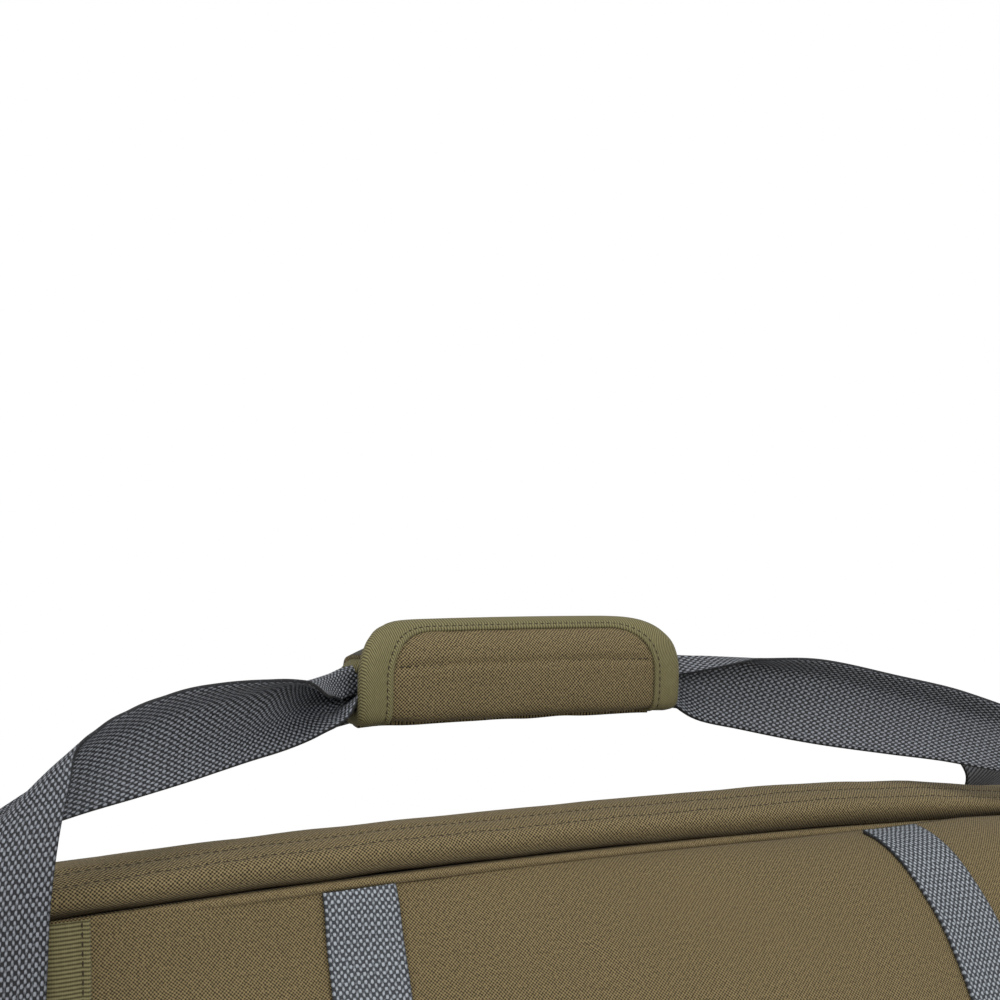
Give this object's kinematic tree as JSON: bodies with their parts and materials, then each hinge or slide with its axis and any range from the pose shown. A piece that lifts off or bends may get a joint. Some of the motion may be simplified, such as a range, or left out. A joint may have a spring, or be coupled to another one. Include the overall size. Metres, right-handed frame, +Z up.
{
  "type": "rod case",
  "caption": "Long padded fishing rod case with a zipped lid, webbing carry handle with padded wrap grip, and an open-ended front sleeve.",
  "frame": {"origin": "middle of the flat underside of the base", "axes": "+X along the case, -Y towards the front with the sleeve, +Z up"},
  "size_m": [1.629, 0.2207, 0.347],
  "materials": {
    "case_fabric": "woven olive-brown polyester, matt",
    "grosgrain_tape": "ribbed green-olive binding tape",
    "grey_webbing": "coarse slate-grey webbing with a slight sheen",
    "puller_cord": "moulded grip on a cord",
    "lining": "smooth lining over thin foam",
    "zip_tape": "woven tape with moulded coil",
    "hook_and_loop": "hook and loop tape",
    "slider_metal": "satin enamel",
    "stiffener": "thin plastic board"
  },
  "bodies": {
    "tray": {"base_board": "stiffener", "base_panel": "case_fabric", "butt_pocket": "lining", "front_skirt": "case_fabric", "rear_panel": "case_fabric", "rear_piping": "case_fabric", "rear_webbing_left": "grey_webbing", "rear_webbing_right": "grey_webbing", "rod_loop_left": "lining", "rod_loop_right": "lining", "skirt_left": "case_fabric", "skirt_right": "case_fabric", "tip_pocket": "lining", "tray_left_gusset": "case_fabric", "tray_right_gusset": "case_fabric", "tray_top_gusset": "case_fabric", "tray_zip_tape": "zip_tape"},
    "lid": {"lid_panel": "case_fabric", "lid_top_gusset": "case_fabric", "lid_left_gusset": "case_fabric", "lid_right_gusset": "case_fabric", "lid_zip_tape": "zip_tape", "front_piping": "case_fabric", "sleeve_panel": "case_fabric", "sleeve_binding_left": "grosgrain_tape", "sleeve_binding_right": "grosgrain_tape", "sleeve_strap_left": "grey_webbing", "sleeve_strap_right": "grey_webbing", "front_webbing_left": "grey_webbing", "front_webbing_right": "grey_webbing"},
    "divider": {"divider": "lining"},
    "front_handle": {"front_handle_strap": "grey_webbing"},
    "rear_handle": {"rear_handle_strap": "grey_webbing", "grip_wrap": "case_fabric", "grip_loop_strip": "hook_and_loop"},
    "grip_flap": {"grip_flap": "case_fabric", "grip_hook_strip": "hook_and_loop"},
    "zip_slider_left": {"zip_slider_left": "slider_metal"},
    "zip_slider_right": {"zip_slider_right": "slider_metal"},
    "zip_puller_left": {"zip_puller_left": "puller_cord"},
    "zip_puller_right": {"zip_puller_right": "puller_cord"}
  },
  "joints": [
    {"name": "lid_hinge", "type": "hinge", "parent": "tray", "child": "lid", "pos_m": [0, -0.0575, 0.03], "axis": [1, 0, 0], "range_deg": [0, 65]},
    {"name": "divider_lean", "type": "hinge", "parent": "tray", "child": "divider", "pos_m": [0, 0, 0.0158], "axis": [1, 0, 0], "range_deg": [-7, 12]},
    {"name": "front_handle_swing", "type": "hinge", "parent": "lid", "child": "front_handle", "pos_m": [0, -0.0599, 0.13], "axis": [1, 0, 0], "range_deg": [0, 100], "deforming": ["front_handle_strap"]},
    {"name": "rear_handle_swing", "type": "hinge", "parent": "tray", "child": "rear_handle", "pos_m": [0, 0.0599, 0.13], "axis": [-1, 0, 0], "range_deg": [0, 100]},
    {"name": "grip_flap_open", "type": "hinge", "parent": "rear_handle", "child": "grip_flap", "pos_m": [-0.031, -0.0065, 0.3056], "axis": [1, 0, 0], "range_deg": [0, 150]},
    {"name": "zip_run_left", "type": "hinge", "parent": "tray", "child": "zip_slider_left", "pos_m": [0, -0.0175, -4.7435], "axis": [0, -1, 0], "range_deg": [0, 14]},
    {"name": "zip_run_right", "type": "hinge", "parent": "tray", "child": "zip_slider_right", "pos_m": [0, -0.0175, -4.7435], "axis": [0, 1, 0], "range_deg": [0, 1.63]},
    {"name": "puller_flip_left", "type": "hinge", "parent": "zip_slider_left", "child": "zip_puller_left", "pos_m": [0.53049, -0.0175, 0.24116], "axis": [0, 1, 0], "range_deg": [0, 110]},
    {"name": "puller_flip_right", "type": "hinge", "parent": "zip_slider_right", "child": "zip_puller_right", "pos_m": [0.56997, -0.0175, 0.2368], "axis": [0, -1, 0], "range_deg": [0, 110]}
  ]
}
